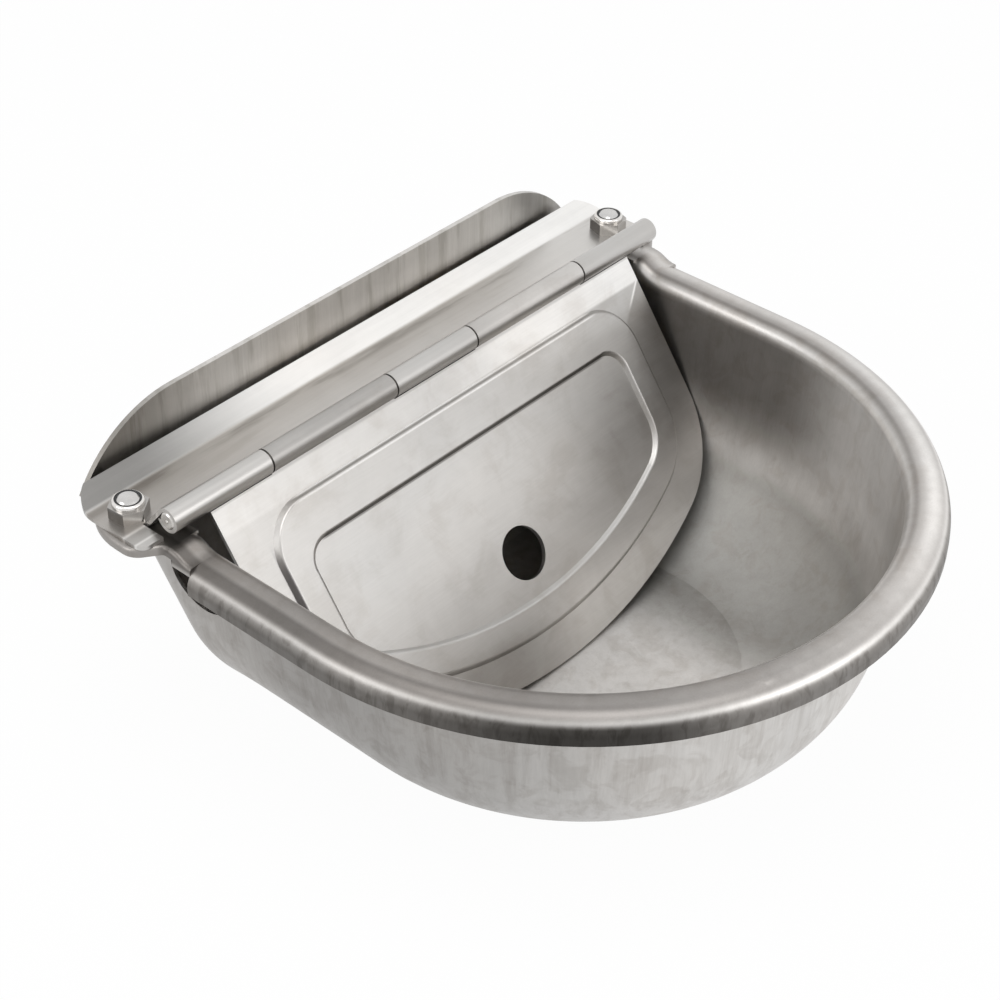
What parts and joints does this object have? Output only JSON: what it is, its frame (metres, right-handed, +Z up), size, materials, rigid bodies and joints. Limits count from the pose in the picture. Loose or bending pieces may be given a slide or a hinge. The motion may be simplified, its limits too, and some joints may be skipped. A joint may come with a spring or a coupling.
{
  "type": "livestock drinking bowl",
  "caption": "Wall-mounted stainless steel drinking bowl with a rolled rim, a float valve and a hinged, slanting cover over the valve.",
  "frame": {"origin": "on the floor below the middle of the bowl's outside box", "axes": "+X to the right seen from the front, +Y towards the wall, +Z up"},
  "size_m": [0.2883, 0.253, 0.119],
  "materials": {
    "stainless_bowl": "satin deep-drawn stainless steel",
    "stainless_plate": "satin stainless steel sheet",
    "stainless_strip": "satin stainless steel sheet, bent",
    "stainless_lid": "satin stainless steel sheet, pressed",
    "stainless_pin": "ground stainless rod",
    "zinc_bolts": "bright zinc plated",
    "zinc_washers": "zinc plated",
    "zinc_nuts": "bright zinc plated",
    "nylon_black": "black nylon",
    "nylon_white": "natural nylon",
    "acetal_white": "natural acetal",
    "float_plastic": "moulded polypropylene",
    "rubber_black": "black rubber",
    "brass_body": "cast and turned brass",
    "brass_nut": "turned brass"
  },
  "bodies": {
    "base": {"bowl": "stainless_bowl", "back_plate": "stainless_plate", "hinge_strip": "stainless_strip", "hinge_pin": "stainless_pin", "strip_bolts": "zinc_bolts", "strip_washers": "zinc_washers", "strip_nuts": "zinc_nuts", "nut_inserts": "nylon_black", "valve_body": "brass_body", "inlet_locknut": "brass_nut", "inner_seal_washer": "rubber_black", "outer_seal_washer": "rubber_black", "valve_seat": "nylon_white", "valve_cap": "brass_nut", "lever_pin": "stainless_pin"},
    "cover": {"lid": "stainless_lid"},
    "float_lever": {"float_arm": "brass_body", "float": "float_plastic", "float_nuts": "brass_nut"},
    "piston": {"valve_piston": "acetal_white", "seal_disc": "rubber_black"}
  },
  "joints": [
    {"name": "lid_hinge", "type": "hinge", "parent": "base", "child": "cover", "pos_m": [0, 0.0805, 0.105], "axis": [-1, 0, 0], "range_deg": [0, 160]},
    {"name": "float_pivot", "type": "hinge", "parent": "base", "child": "float_lever", "pos_m": [0.07625, 0.0825, 0.051], "axis": [0, 1, 0], "range_deg": [0, 10]},
    {"name": "piston_slide", "type": "slide", "parent": "base", "child": "piston", "axis": [1, 0, 0], "range_m": [0, 0.00313]}
  ],
  "couplings": [
    {"joint": "piston_slide", "follows": "float_pivot", "m_per_rad": 0.017909}
  ]
}
